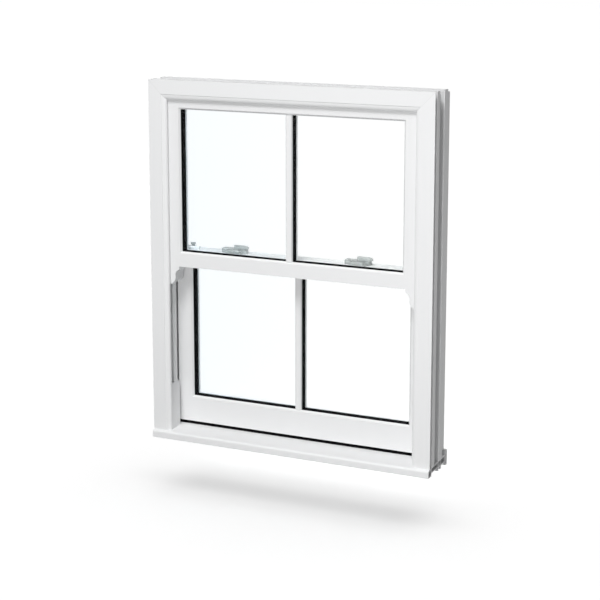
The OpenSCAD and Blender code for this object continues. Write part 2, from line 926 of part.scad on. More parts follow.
// Base of a cam catch: a casting with a slot that the cam sweeps, and a stepped end block
hub_d = 18;
cam_room = 2;
bore_floor = 3;
spindle_end = 1;

module catch_base(side) {
    low = [catch_right - catch_l, -catch_front];
    high = [catch_right, catch_d - catch_front];
    bed_h = tongue_z - lower_top - run_gap;
    top_h = lever_z - lower_top - run_gap;
    corner = 4;
    notch = [2, 4];
    block_l = 13;
    color("silver") translate([side * catch_x, catch_v - mid_d, lower_top]) difference() {
        linear_extrude(top_h) round_rect(low, high, corner);
        translate([0, 0, bed_h]) cam_sweep(tongue_t + 2 * run_gap);
        translate([0, 0, bore_floor]) cylinder(d = spindle_d + 2 * spindle_gap, h = top_h);
        translate([low[0] + block_l, low[1] - over, top_h - notch[1]])
            cube([notch[0], catch_d + 2 * over, notch[1] + over]);
    }
}

// Space that the cam tongue sweeps in half a turn, with its hub
module cam_sweep(height) {
    reach = tongue_r + cam_room;
    intersection() {
        cylinder(r = reach, h = height);
        translate([-reach, -reach, 0]) cube([reach + tongue_w / 2 + run_gap, 2 * reach, height]);
    }
    cylinder(d = hub_d + 2 * run_gap, h = height);
}

module catch_base_left() {
    catch_base(-1);
}

module catch_base_right() {
    catch_base(1);
}

// Lever, spindle and cam tongue in one casting; drawn open, the lever along the rail
module catch_lever(side) {
    foot_z = lower_top + bore_floor + spindle_end;
    color("silver") translate([side * catch_x, catch_v - mid_d, 0]) {
        translate([0, 0, foot_z]) cylinder(d = spindle_d, h = lever_z - foot_z + over);
        translate([0, 0, tongue_z]) cylinder(d = hub_d, h = tongue_t);
        translate([-tongue_w / 2, 0, tongue_z]) cube([tongue_w, tongue_r - tongue_w / 2, tongue_t]);
        translate([0, tongue_r - tongue_w / 2, tongue_z]) cylinder(d = tongue_w, h = tongue_t);
        translate([0, 0, lever_z]) lever_handle();
    }
}

// Thumb piece of a lever: its top falls in a curve to a thin, undercut tip
module lever_handle() {
    tip = [18, 3];
    grip = [12, 2];
    corner = 3;
    intersection() {
        translate([0, lever_w / 2, 0]) rotate([90, 0, 0]) linear_extrude(lever_w)
            polygon(concat([[-lever_back, 0], [lever_l - grip[0], 0]],
                arc([lever_l - grip[0], grip[1]], [grip[0], grip[1]], -90, 0, 4),
                arc([lever_l - tip[0], tip[1]], [tip[0], lever_h - tip[1]], 0, 90, 6),
                [[-lever_back, lever_h]]));
        linear_extrude(lever_h) cut_rect([-lever_back, -lever_w / 2], [lever_l, lever_w / 2], corner);
    }
}

module catch_lever_left() {
    catch_lever(-1);
}

module catch_lever_right() {
    catch_lever(1);
}

// Tilt latch in the upper sash: a bolt through the stile, worked by a button on the room side
module upper_latch(side) {
    z = upper_top - latch_p;
    button = [20, 3, 12];
    groove = [2, 1];
    color("silver") at_sash(side, upper_v) {
        translate([-nose_reach, latch_w, z - latch_h / 2]) linear_extrude(latch_h)
            bolt_plan(nose_reach + knob_in + bolt_tail, latch_d);
        translate([knob_in - latch_neck[0] / 2, latch_w, z - latch_neck[1] / 2])
            cube([latch_neck[0], sash_t - latch_w + over, latch_neck[1]]);
        translate([knob_in - button[0] / 2, sash_t + seat_gap, z - button[2] / 2]) difference() {
            cube(button);
            for (i = [1:3]) translate([i * button[0] / 4 - groove[0] / 2, button[1] - groove[1], -over])
                cube([groove[0], 2 * groove[1], button[2] + 2 * over]);
        }
    }
}

// Plan of a sprung bolt: its nose slopes on the room side, so that it snaps home
module bolt_plan(length, width) {
    slope = [6, 5];
    polygon([[0, 0], [length, 0], [length, width], [slope[0], width], [0, width - slope[1]]]);
}

module upper_latch_left() {
    upper_latch(-1);
}

module upper_latch_right() {
    upper_latch(1);
}

// Tilt latch on top of the lower sash: a bolt in a case, with an upright knob
bolt_w = 4;
bolt_size = [nose_reach + knob_in + bolt_tail, 8, 7];
stem_d = 7;
case_wall = 2.5;
case_h = seat_gap + bolt_size[2] + run_gap + case_wall;

module lower_latch(side) {
    knob_d = 17;
    knob_h = 10;
    knob_top = 2;
    stem_h = case_h + over;
    color("silver") at_sash(side, lower_v) translate([0, bolt_w, lower_top]) {
        translate([-nose_reach, 0, seat_gap]) linear_extrude(bolt_size[2])
            bolt_plan(bolt_size[0], bolt_size[1]);
        translate([knob_in, bolt_size[1] / 2, seat_gap]) cylinder(d = stem_d, h = stem_h + over);
        translate([knob_in, bolt_size[1] / 2, stem_h]) rotate_extrude()
            polygon([[0, 0], [stem_d / 2 + over, 0], [knob_d / 2, knob_h - knob_top],
                [knob_d / 2 - knob_top, knob_h], [0, knob_h]]);
    }
}

// Cases over the bolts, slotted for the knobs' stems
module latch_cases() {
    first = 4;
    last = knob_in + bolt_tail + latch_travel + first;
    wide = bolt_size[1] + 2 * run_gap;
    half = wide / 2 + case_wall;
    edge = 2;
    color("white") for (side = [-1, 1]) at_sash(side, lower_v)
        translate([0, bolt_w + bolt_size[1] / 2, lower_top]) difference() {
            translate([first, 0, 0]) rotate([90, 0, 90]) linear_extrude(last - first)
                polygon([[-half, 0], [half, 0], [half, case_h - edge], [half - edge, case_h],
                    [edge - half, case_h], [-half, case_h - edge]]);
            translate([first - over, -wide / 2, -over])
                cube([last - first + over - case_wall, wide, case_h - case_wall + over]);
            translate([knob_in - stem_d / 2 - run_gap, -stem_d / 2 - run_gap, 0])
                cube([stem_d + latch_travel + 2 * run_gap, stem_d + 2 * run_gap, 2 * case_h]);
        }
}

module lower_latch_left() {
    lower_latch(-1);
}

module lower_latch_right() {
    lower_latch(1);
}

// Finger lifts on the room face of the bottom rail, each bent from one plate
lift_bend = 2;
lift_fillet = 5;
lift_reach = 18;
lift_h = 24;
lift_t = 3;
lift_lip = 6;
lift_up = 30;

module finger_lifts() {
    t = lift_t;
    bend = [lift_reach - t - lift_bend, -lift_bend];
    r_out = lift_bend + t;
    color("silver") for (side = [-1, 1]) translate([side * lift_x, 0, 0]) along_x(lift_w)
        translate([lower_v + sash_t, lower_bottom + lift_up])
            polygon(concat([[0, 0], [0, lift_h], [t, lift_h]],
                arc([t + lift_fillet, t + lift_fillet], [lift_fillet, lift_fillet], 180, 270, 4),
                arc(bend, [r_out, r_out], 90, 0, 4), [[lift_reach, -lift_lip], [lift_reach - t, -lift_lip]],
                arc(bend, [lift_bend, lift_bend], 0, 90, 2)));
}

frame_head();
frame_jamb_left();
frame_jamb_right();
frame_sill();
sill_seal();
frame_pile();
stop_block_left();
stop_block_right();
upper_tube_left();
upper_tube_right();
lower_tube_left();
lower_tube_right();
tube_screws();
upper_top_rail();
upper_meeting_rail();
upper_stile_left();
upper_stile_right();
upper_outer_pane();
upper_inner_pane();
upper_spacer();
upper_gasket();
upper_beads();
upper_bar_outside();
upper_bar_inside();
upper_interlock();
upper_shoe_left();
upper_shoe_right();
upper_rod_left();
upper_rod_right();
upper_pivots();
upper_steel();
keepers();
upper_latch_left();
upper_latch_right();
lower_top_rail();
lower_bottom_rail();
lower_stile_left();
lower_stile_right();
lower_outer_pane();
lower_inner_pane();
lower_spacer();
lower_gasket();
lower_beads();
lower_bar_outside();
lower_bar_inside();
lower_interlock();
lower_shoe_left();
lower_shoe_right();
lower_rod_left();
lower_rod_right();
lower_pivots();
lower_steel();
catch_base_left();
catch_base_right();
latch_cases();
finger_lifts();
catch_lever_left();
catch_lever_right();
lower_latch_left();
lower_latch_right();
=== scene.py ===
"""Dresses the sash window's solids: finishes, spiral rods, pile, screw heads and a plain stage."""

import json
import math

import bpy
from bpy.props import FloatProperty
from bpy.props import FloatVectorProperty
from bpy.props import IntProperty
from bpy.props import PointerProperty
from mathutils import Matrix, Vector

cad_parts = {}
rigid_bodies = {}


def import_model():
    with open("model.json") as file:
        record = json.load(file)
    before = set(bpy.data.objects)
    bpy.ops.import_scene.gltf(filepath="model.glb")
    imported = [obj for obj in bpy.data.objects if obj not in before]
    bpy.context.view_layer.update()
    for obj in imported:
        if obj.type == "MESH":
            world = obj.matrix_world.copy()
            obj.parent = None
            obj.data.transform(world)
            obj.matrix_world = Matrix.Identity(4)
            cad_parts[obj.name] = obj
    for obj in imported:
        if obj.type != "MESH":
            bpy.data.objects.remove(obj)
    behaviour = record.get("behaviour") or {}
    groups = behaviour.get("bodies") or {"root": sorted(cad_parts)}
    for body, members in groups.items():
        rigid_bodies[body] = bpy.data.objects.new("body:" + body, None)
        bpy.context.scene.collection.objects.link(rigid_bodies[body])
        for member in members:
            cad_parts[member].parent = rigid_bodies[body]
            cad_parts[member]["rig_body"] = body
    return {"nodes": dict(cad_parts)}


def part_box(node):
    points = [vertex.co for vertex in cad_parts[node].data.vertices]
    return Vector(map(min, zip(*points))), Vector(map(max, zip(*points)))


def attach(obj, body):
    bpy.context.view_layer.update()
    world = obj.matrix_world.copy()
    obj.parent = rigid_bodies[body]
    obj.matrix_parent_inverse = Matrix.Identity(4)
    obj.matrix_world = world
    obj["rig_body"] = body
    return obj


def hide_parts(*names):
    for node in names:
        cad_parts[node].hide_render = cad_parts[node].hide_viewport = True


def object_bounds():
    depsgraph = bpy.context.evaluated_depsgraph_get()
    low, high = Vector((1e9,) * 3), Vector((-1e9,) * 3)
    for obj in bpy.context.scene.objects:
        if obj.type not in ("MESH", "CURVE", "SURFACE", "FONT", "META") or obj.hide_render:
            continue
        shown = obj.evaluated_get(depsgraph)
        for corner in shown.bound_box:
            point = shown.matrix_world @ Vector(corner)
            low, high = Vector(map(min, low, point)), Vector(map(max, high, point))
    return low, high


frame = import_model()
CAD_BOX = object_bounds()

bl_info = {
    "name": "Sash window dressing",
    "version": (1, 0, 0),
    "blender": (4, 5, 0),
    "location": "3D View > Sidebar > Sash window",
    "description": "Finishes, small working parts and a plain stage for a vertical sliding sash window",
    "category": "Object",
}

SIDES = (("left", -1), ("right", 1))

# Nodes by finish, with the direction that each profile was extruded in
LEVEL_WELDED = ("frame_head",)
UPRIGHT_WELDED = ("frame_jamb_left", "frame_jamb_right")
LEVEL_PROFILES = (
    "frame_sill", "upper_top_rail", "upper_meeting_rail", "lower_top_rail",
    "lower_bottom_rail", "upper_interlock", "lower_interlock", "latch_cases",
)
UPRIGHT_PROFILES = (
    "upper_stile_left", "upper_stile_right", "lower_stile_left",
    "lower_stile_right", "upper_bar_outside", "upper_bar_inside", "lower_bar_outside",
    "lower_bar_inside", "upper_beads", "lower_beads", "stop_block_left", "stop_block_right",
)
PANES = ("upper_outer_pane", "upper_inner_pane", "lower_outer_pane", "lower_inner_pane")
GASKETS = ("upper_gasket", "lower_gasket", "sill_seal")
SPACERS = ("upper_spacer", "lower_spacer")
TUBES = ("upper_tube_left", "upper_tube_right", "lower_tube_left", "lower_tube_right")
SHOES = ("upper_shoe_left", "upper_shoe_right", "lower_shoe_left", "lower_shoe_right")
STEELS = ("upper_steel", "lower_steel", "upper_pivots", "lower_pivots", "tube_screws")
CASTINGS = (
    "keepers", "catch_base_left", "catch_base_right", "catch_lever_left", "catch_lever_right",
    "upper_latch_left", "upper_latch_right", "lower_latch_left", "lower_latch_right", "finger_lifts",
)

# White profiles: stretch of the draw lines, and a weld seam's half widths in metres, its core and soft edge
LEVEL_DRAWN = (0.5, 260.0, 260.0)
UPRIGHT_DRAWN = (260.0, 260.0, 0.5)
SEAM_CORE = 0.0003
SEAM_EDGE = 0.0014

# Black rubber: stretch of the moulded ridges
GASKET_RIDGES = (300.0, 300.0, 300.0)
SPACER_RIDGES = (40.0, 700.0, 40.0)

# Glass: its own colour on the right, where a painted bluish reflection starts and ends across the width,
# and the light let through
PANE_CLEAR = (0.992, 0.998, 0.997)
REFLECTION_TINT_START = -0.45
REFLECTION_TINT_END = 0.1
PANE_PASSES = 0.95

# Castings: stretch of the brushed grain
BRUSHED = (160.0, 1500.0, 1500.0)

# Spiral rods: steps in each turn, and the strip's width as a share of the round bar's
ROD_STEPS = 20
ROD_FIT = 0.98

# Pile: width of a strip and radius of a tuft's tip in metres, tuft sizes as shares, and how far tufts lean
PILE_STRIP = 0.006
TUFT_TIP = 0.00012
TUFT_HEIGHT = 0.98
TUFT_ROOT = 0.6
TUFT_LEAN = ((-1.72, -0.3, -3.1), (-1.42, 0.3, 3.1))
TUFT_SEED = 7

# Screw heads: shape in shares of their radius, and the size below which slivers are merged in metres
SCREW_FLAT = 0.42
SCREW_SINK = 0.16
RECESS_ARMS = ((1.15, 0.24, 0.5), (0.24, 1.15, 0.56))
RECESS_LIFT = 0.48
SLIVER = 0.000004

# Places of the screws on the catch bases and finger lifts, in metres
BASE_SCREW_INSET = 0.006
LIFT_SCREW_INSETS = (0.010, 0.052)
LIFT_SCREW_DROP = 0.009
LIFT_PLATE = 0.003

# Stage: place and width of each soft lamp and half the floor in metres, floor colours, and the camera
ROOM_LAMP = ((0.2, 5.0, 0.7), 1.6)
KEY_LAMP = ((-0.1, -3.8, 5.6), 2.0)
HEAD_LAMP = ((0.0, -0.9, 3.2), 1.4)
LOW_LAMP = ((0.5, -2.3, 0.6), 0.5)
SIDE_LAMP = ((1.9, 0.6, 0.2), 0.6)
FLOOR_HALF = 30.0
FLOOR_LIT = (0.5, 0.5, 0.5)
FLOOR_SEEN = (0.84, 0.84, 0.84)
WHITE = (1.0, 1.0, 1.0, 1.0)
SENSOR = 36.0
VIEW_END = 100.0


class FinishSettings(bpy.types.PropertyGroup):
    """Colours and gloss of the window's finishes"""

    profile_colour: FloatVectorProperty(
        name="Profile", description="White of the frame and sashes", subtype="COLOR",
        default=(0.86, 0.865, 0.87), min=0.0, max=1.0,
    )
    profile_roughness: FloatProperty(
        name="Profile roughness", description="Gloss of the white profiles", subtype="FACTOR",
        default=0.5, min=0.0, max=1.0,
    )
    seal_colour: FloatVectorProperty(
        name="Seal", description="Black of the gaskets and seals", subtype="COLOR",
        default=(0.004, 0.004, 0.0045), min=0.0, max=1.0,
    )
    # Painted reflection: the glass's colour at the left, bluer to stand in for a reflection, not the
    # glass's own colour
    painted_reflection_tint: FloatVectorProperty(
        name="Glass", description="Tint of the glass towards the window's left side", subtype="COLOR",
        default=(0.962, 0.984, 0.996), min=0.0, max=1.0,
    )
    metal_colour: FloatVectorProperty(
        name="Catches", description="Satin silver of the catches, latches and finger lifts",
        subtype="COLOR", default=(0.48, 0.505, 0.5), min=0.0, max=1.0,
    )
    steel_colour: FloatVectorProperty(
        name="Steel", description="Zinc-coated steel of rods, pivots and stiffeners", subtype="COLOR",
        default=(0.56, 0.57, 0.58), min=0.0, max=1.0,
    )
    tube_colour: FloatVectorProperty(
        name="Tubes", description="Pale plastic of the balance tubes", subtype="COLOR",
        default=(0.78, 0.78, 0.77), min=0.0, max=1.0,
    )
    shoe_colour: FloatVectorProperty(
        name="Shoes", description="Dark plastic of the balance shoes", subtype="COLOR",
        default=(0.06, 0.062, 0.066), min=0.0, max=1.0,
    )
    pile_colour: FloatVectorProperty(
        name="Pile", description="Grey of the pile strips", subtype="COLOR",
        default=(0.34, 0.34, 0.35), min=0.0, max=1.0,
    )


class DetailSettings(bpy.types.PropertyGroup):
    """Sizes of the small working parts"""

    rod_lead: FloatProperty(
        name="Rod lead", description="Length of one turn of a spiral rod", unit="LENGTH",
        default=0.036, min=0.01, max=0.2,
    )
    rod_thickness: FloatProperty(
        name="Rod thickness", description="Thickness of the strip that a rod is twisted from",
        unit="LENGTH", default=0.0018, min=0.0005, max=0.004,
    )
    bristle_pitch: FloatProperty(
        name="Bristle pitch", description="Spacing of the tufts along a pile strip", unit="LENGTH",
        default=0.0014, min=0.0005, max=0.01,
    )
    bristle_rows: IntProperty(
        name="Bristle rows", description="Rows of tufts across a pile strip", default=4, min=1, max=8,
    )
    screw_radius: FloatProperty(
        name="Screw head", description="Radius of the screw heads on the fittings", unit="LENGTH",
        default=0.0026, min=0.001, max=0.006,
    )


class StageSettings(bpy.types.PropertyGroup):
    """Camera, lamps and floor"""

    azimuth: FloatProperty(
        name="Azimuth", description="Direction of the camera, from the outside face towards the right",
        subtype="ANGLE", unit="ROTATION", default=math.radians(25.51),
    )
    elevation: FloatProperty(
        name="Elevation", description="Height of the camera above the horizon", subtype="ANGLE",
        unit="ROTATION", default=math.radians(10.93),
    )
    distance: FloatProperty(
        name="Distance", description="Distance from the camera to its target", unit="LENGTH",
        default=4.659, min=0.5, max=50.0,
    )
    target: FloatVectorProperty(
        name="Target", description="Point on the window that the camera faces", subtype="XYZ",
        unit="LENGTH", default=(0.0113, 0.0, 0.6373),
    )
    lens: FloatProperty(
        name="Lens", description="Focal length in millimetres", default=96.22, min=10.0, max=400.0,
    )
    shift: FloatProperty(
        name="Shift", description="Vertical shift of the camera's frame", default=-0.1, min=-0.5, max=0.5,
    )
    floor_drop: FloatProperty(
        name="Floor drop", description="Height of the window above the floor", unit="LENGTH",
        default=0.15, min=0.0, max=2.0,
    )
    ambient: FloatProperty(
        name="Ambient", description="Light from all round", default=0.125, min=0.0, max=1.0,
    )
    key_lamp: FloatProperty(
        name="Key lamp", description="Power of the large soft lamp in front", subtype="POWER",
        unit="POWER", default=228.0, min=0.0, max=5000.0,
    )
    head_lamp: FloatProperty(
        name="Head lamp", description="Power of the soft lamp above the head", subtype="POWER",
        unit="POWER", default=9.0, min=0.0, max=5000.0,
    )
    side_lamp: FloatProperty(
        name="Side lamp", description="Power of the soft lamp behind on the right", subtype="POWER",
        unit="POWER", default=1.8, min=0.0, max=5000.0,
    )
    room_lamp: FloatProperty(
        name="Room lamp", description="Power of the soft lamp on the room side", subtype="POWER",
        unit="POWER", default=150.0, min=0.0, max=5000.0,
    )
    low_lamp: FloatProperty(
        name="Low lamp", description="Power of the weak lamp low in front", subtype="POWER",
        unit="POWER", default=19.0, min=0.0, max=5000.0,
    )
    sky_lamp: FloatProperty(
        name="Sky lamp", description="Strength of the broad light from above on the floor", default=1.7,
        min=0.0, max=20.0,
    )
    sky_spread: FloatProperty(
        name="Sky spread", description="Angle across the broad light from above", subtype="ANGLE",
        unit="ROTATION", default=math.radians(80.0), min=0.0, max=math.pi,
    )
    floor_glow: FloatProperty(
        name="Floor glow", description="Level that lifts the floor to white in the camera's view",
        default=0.467, min=0.0, max=1.0,
    )


def feed(tree, socket, value):
    """Links another socket to a socket, or sets a plain value on it."""
    if isinstance(value, bpy.types.NodeSocket):
        tree.links.new(value, socket)
    else:
        socket.default_value = value


def feed_named(tree, node, values):
    """Feeds a node's inputs by name, with underscores for spaces."""
    for key, value in values.items():
        feed(tree, node.inputs[key.replace("_", " ")], value)


class Nodes:
    """Builds one material's nodes, starting from its main shader."""

    def __init__(self, name):
        self.material = bpy.data.materials.new(name)
        self.material.use_nodes = True
        self.tree = self.material.node_tree
        self.shader = self.tree.nodes["Principled BSDF"]
        self.output = self.tree.nodes["Material Output"]
        self.place = self.tree.nodes.new("ShaderNodeTexCoord").outputs["Object"]

    def add(self, kind, **values):
        """A node whose inputs are set by name, with underscores for spaces."""
        node = self.tree.nodes.new(kind)
        feed_named(self.tree, node, values)
        return node

    def link(self, source, target):
        self.tree.links.new(source, target)

    def stretched(self, stretch):
        """Object coordinates, scaled along each axis."""
        return self.add("ShaderNodeMapping", Vector=self.place, Scale=stretch).outputs["Vector"]

    def noise(self, scale, detail=2.0, place=None):
        """A noise from 0 to 1, on Object coordinates or on a place made from them."""
        node = self.add("ShaderNodeTexNoise", Vector=place or self.place, Scale=scale, Detail=detail)
        return node.outputs["Fac"]

    def between(self, factor, low, high):
        """Maps a noise's middle range onto low to high."""
        return self.add(
            "ShaderNodeMapRange", Value=factor, From_Min=0.3, From_Max=0.7, To_Min=low, To_Max=high
        ).outputs["Result"]

    def mixed(self, factor, first, second):
        """A colour between two, by a factor."""
        node = self.tree.nodes.new("ShaderNodeMix")
        node.data_type = "RGBA"
        colours = [socket for socket in node.inputs if socket.type == "RGBA"]
        self.link(factor, node.inputs[0])
        for socket, value in zip(colours, (first, second)):
            feed(self.tree, socket, value if isinstance(value, bpy.types.NodeSocket) else (*value, 1.0))
        return [socket for socket in node.outputs if socket.type == "RGBA"][0]

    def shade(self, **values):
        """Sets the main shader's inputs by name, with underscores for spaces."""
        feed_named(self.tree, self.shader, values)

    def bump(self, height, strength, distance, below=None):
        """A bump from a height, laid over another one."""
        node = self.add("ShaderNodeBump", Height=height, Strength=strength, Distance=distance)
        if below is not None:
            self.link(below, node.inputs["Normal"])
        self.link(node.outputs["Normal"], self.shader.inputs["Normal"])
        return node.outputs["Normal"]


def darker(colour, factor):
    """A colour with each channel brought down by a factor."""
    return tuple(channel * factor for channel in colour)


def worked(tree, operation, first, second=0.0):
    """One step of arithmetic on sockets or numbers."""
    node = tree.nodes.new("ShaderNodeMath")
    node.operation = operation
    feed(tree, node.inputs[0], first)
    feed(tree, node.inputs[1], second)
    return node.outputs[0]


def weld_seam(nodes):
    """0 along the frame's mitred top corners, where the profiles are welded, and 1 away from them."""
    tree = nodes.tree
    place = nodes.add("ShaderNodeSeparateXYZ", Vector=nodes.place).outputs
    inwards = worked(tree, "SUBTRACT", CAD_BOX[1].x, worked(tree, "ABSOLUTE", place["X"]))
    downwards = worked(tree, "SUBTRACT", CAD_BOX[1].z, place["Z"])
    gap = worked(tree, "ABSOLUTE", worked(tree, "SUBTRACT", inwards, downwards))
    seam = nodes.add("ShaderNodeMapRange", Value=gap, From_Min=SEAM_CORE, From_Max=SEAM_EDGE)
    return seam.outputs["Result"]


def profile_material(name, settings, stretch, welded):
    """Extruded white plastic: faint clouds, draw lines along its length, a fine skin and weld seams."""
    nodes = Nodes(name)
    colour = tuple(settings.profile_colour)
    gloss = settings.profile_roughness
    gloss_swing = 0.05
    cloud = nodes.between(nodes.noise(scale=2.4, detail=3.0), 0.0, 1.0)
    lines = nodes.noise(scale=1.0, detail=2.0, place=nodes.stretched(stretch))
    skin = nodes.noise(scale=620.0, detail=1.0)
    base = nodes.mixed(cloud, darker(colour, 0.985), colour)
    seam = weld_seam(nodes) if welded else None
    nodes.shade(
        Base_Color=nodes.mixed(seam, darker(colour, 0.93), base) if welded else base,
        Roughness=nodes.between(lines, gloss - gloss_swing, gloss + gloss_swing),
        IOR=1.53,
    )
    drawn = nodes.bump(lines, strength=0.05, distance=0.00015)
    fine = nodes.bump(skin, strength=0.04, distance=0.00008, below=drawn)
    if welded:
        nodes.bump(seam, strength=0.6, distance=0.0004, below=fine)
    return nodes.material


def glass_material(name, settings):
    """Float glass with a faint wave and a painted reflection, a bluer tint to the left; it lets lamps
    through.
    """
    nodes = Nodes(name)
    width = CAD_BOX[1].x - CAD_BOX[0].x
    across = nodes.add("ShaderNodeSeparateXYZ", Vector=nodes.place).outputs["X"]
    # Fades from the painted bluish reflection on the left to the glass's own colour on the right
    side = nodes.add(
        "ShaderNodeMapRange", Value=across, From_Min=width * REFLECTION_TINT_START, From_Max=width * REFLECTION_TINT_END,
        To_Min=0.0, To_Max=1.0,
    ).outputs["Result"]
    nodes.shade(
        Base_Color=nodes.mixed(side, tuple(settings.painted_reflection_tint), PANE_CLEAR),
        Roughness=nodes.between(nodes.noise(scale=3.0, detail=4.0), 0.0, 0.012),
        IOR=1.15,
        Transmission_Weight=1.0,
    )
    nodes.bump(nodes.noise(scale=5.0, detail=1.0), strength=0.02, distance=0.0001)
    # The painted bluish reflection also tints the light that shadow rays let through the panes
    passed = nodes.mixed(side, darker(settings.painted_reflection_tint, PANE_PASSES), darker(PANE_CLEAR, PANE_PASSES))
    clear_shader = nodes.add("ShaderNodeBsdfTransparent", Color=passed)
    rays = nodes.tree.nodes.new("ShaderNodeLightPath")
    mix = nodes.tree.nodes.new("ShaderNodeMixShader")
    nodes.link(rays.outputs["Is Shadow Ray"], mix.inputs[0])
    nodes.link(nodes.shader.outputs["BSDF"], mix.inputs[1])
    nodes.link(clear_shader.outputs["BSDF"], mix.inputs[2])
    nodes.link(mix.outputs["Shader"], nodes.output.inputs["Surface"])
    return nodes.material


def rubber_material(name, colour, roughness, ridges):
    """Black rubber or spacer: a dusty grain and fine moulded ridges."""
    nodes = Nodes(name)
    dusty = tuple(channel * 1.6 + 0.001 for channel in colour)
    swing = 0.08
    dust = nodes.between(nodes.noise(scale=60.0, detail=4.0), 0.0, 1.0)
    wear = nodes.noise(scale=140.0, detail=2.0)
    nodes.shade(
        Base_Color=nodes.mixed(dust, colour, dusty),
        Roughness=nodes.between(wear, roughness - swing, roughness + swing),
        IOR=1.5,
        Specular_IOR_Level=0.0,
    )
    grain = nodes.bump(nodes.noise(scale=900.0, detail=2.0), strength=0.06, distance=0.0002)
    ribs = nodes.noise(scale=1.0, detail=1.0, place=nodes.stretched(ridges))
    nodes.bump(ribs, strength=0.06, distance=0.0003, below=grain)
    return nodes.material


def plastic_material(name, colour, roughness, speckle):
    """Moulded plastic: a mottled colour and a fine spark-eroded grain."""
    nodes = Nodes(name)
    swing = 0.07
    mottle = nodes.between(nodes.noise(scale=speckle, detail=3.0), 0.0, 1.0)
    wear = nodes.noise(scale=speckle * 3.0, detail=2.0)
    nodes.shade(
        Base_Color=nodes.mixed(mottle, darker(colour, 0.86), colour),
        Roughness=nodes.between(wear, roughness - swing, roughness + swing),
        IOR=1.49,
    )
    nodes.bump(nodes.noise(scale=1100.0, detail=2.0), strength=0.18, distance=0.00015)
    return nodes.material


def casting_material(name, colour):
    """Satin silver castings: a fine brushed grain with duller patches from handling."""
    nodes = Nodes(name)
    patches = nodes.between(nodes.noise(scale=48.0, detail=3.0), 0.0, 1.0)
    grain = nodes.noise(scale=1.0, detail=2.0, place=nodes.stretched(BRUSHED))
    nodes.shade(
        Base_Color=nodes.mixed(patches, darker(colour, 0.9), colour),
        Roughness=nodes.between(grain, 0.3, 0.44),
        Metallic=0.25,
    )
    nodes.bump(grain, strength=0.06, distance=0.0001)
    return nodes.material


def zinc_material(name, colour):
    """Galvanised steel: spangled crystals of zinc with a dull bloom."""
    nodes = Nodes(name)
    spangle = nodes.add("ShaderNodeTexVoronoi", Vector=nodes.place, Scale=190.0)
    flakes = nodes.add("ShaderNodeSeparateColor", Color=spangle.outputs["Color"]).outputs[0]
    bloom = nodes.between(nodes.noise(scale=34.0, detail=4.0), 0.0, 1.0)
    nodes.shade(
        Base_Color=nodes.mixed(flakes, darker(colour, 0.84), colour),
        Roughness=nodes.between(bloom, 0.32, 0.5),
        Metallic=1.0,
    )
    nodes.bump(flakes, strength=0.05, distance=0.0001)
    return nodes.material


def pile_material(name, colour):
    """Woven pile: tufts that differ a little in shade, and are dull all over."""
    nodes = Nodes(name)
    tufts = nodes.between(nodes.noise(scale=700.0, detail=2.0), 0.0, 1.0)
    nodes.shade(
        Base_Color=nodes.mixed(tufts, darker(colour, 0.6), colour),
        Roughness=nodes.between(nodes.noise(scale=300.0, detail=1.0), 0.84, 0.96),
        Sheen_Weight=0.3,
    )
    nodes.bump(tufts, strength=0.3, distance=0.0003)
    return nodes.material


def paint(names, material):
    """Gives each CAD node one finish."""
    for name in names:
        mesh = frame["nodes"][name].data
        mesh.materials.clear()
        mesh.materials.append(material)


def node_body(name):
    """The body that a CAD node rides on."""
    return frame["nodes"][name]["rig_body"]


def tree_with(name, inputs):
    """A Geometry Nodes tree with a mesh to work on, named inputs and one result."""
    tree = bpy.data.node_groups.new(name, "GeometryNodeTree")
    tree.interface.new_socket("Geometry", in_out="INPUT", socket_type="NodeSocketGeometry")
    for label, kind in inputs:
        tree.interface.new_socket(label, in_out="INPUT", socket_type=kind)
    tree.interface.new_socket("Geometry", in_out="OUTPUT", socket_type="NodeSocketGeometry")
    enter = tree.nodes.new("NodeGroupInput")
    leave = tree.nodes.new("NodeGroupOutput")
    return tree, enter, leave


def geometry_node(tree, kind, settings=None, **values):
    """A node in a Geometry Nodes tree; inputs by name, with underscores for spaces."""
    node = tree.nodes.new(kind)
    for key, value in (settings or {}).items():
        setattr(node, key, value)
    for key, value in values.items():
        label = key.replace("_", " ")
        feed(tree, next(s for s in node.inputs if s.name == label and s.enabled), value)
    return node


def output(node, label):
    """The output of that name that is in use."""
    return next(s for s in node.outputs if s.name == label and s.enabled)


def finish_tree(tree, leave, geometry, material):
    """Ends a tree: instances made real, and the material set."""
    real = geometry_node(tree, "GeometryNodeRealizeInstances", Geometry=geometry)
    painted = geometry_node(
        tree, "GeometryNodeSetMaterial", Geometry=output(real, "Geometry"), Material=material
    )
    tree.links.new(output(painted, "Geometry"), leave.inputs["Geometry"])


def seed_mesh(name, points, edges=(), axes=None):
    """Points for a tree to work on, with the way that each one faces."""
    mesh = bpy.data.meshes.new(name)
    mesh.from_pydata(points, edges, [])
    if axes is not None:
        facing = mesh.attributes.new("facing", "FLOAT_VECTOR", "POINT")
        for item, axis in zip(facing.data, axes):
            item.vector = axis
    return mesh


def grown(name, tree, seed, values, material):
    """The result of a tree on a seed, as a plain mesh object of its own."""
    holder = bpy.data.objects.new(name + "_seed", seed)
    bpy.context.scene.collection.objects.link(holder)
    modifier = holder.modifiers.new("Tree", "NODES")
    modifier.node_group = tree
    for item in tree.interface.items_tree:
        if item.in_out == "INPUT" and item.name in values:
            modifier[item.identifier] = values[item.name]
    graph = bpy.context.evaluated_depsgraph_get()
    mesh = bpy.data.meshes.new_from_object(holder.evaluated_get(graph), depsgraph=graph)
    holder.modifiers.remove(modifier)
    bpy.data.objects.remove(holder)
    if not mesh.polygons:
        raise RuntimeError("nothing grew for " + name)
    mesh.materials.clear()
    mesh.materials.append(material)
    mesh.name = name
    piece = bpy.data.objects.new(name, mesh)
    bpy.context.scene.collection.objects.link(piece)
    return piece


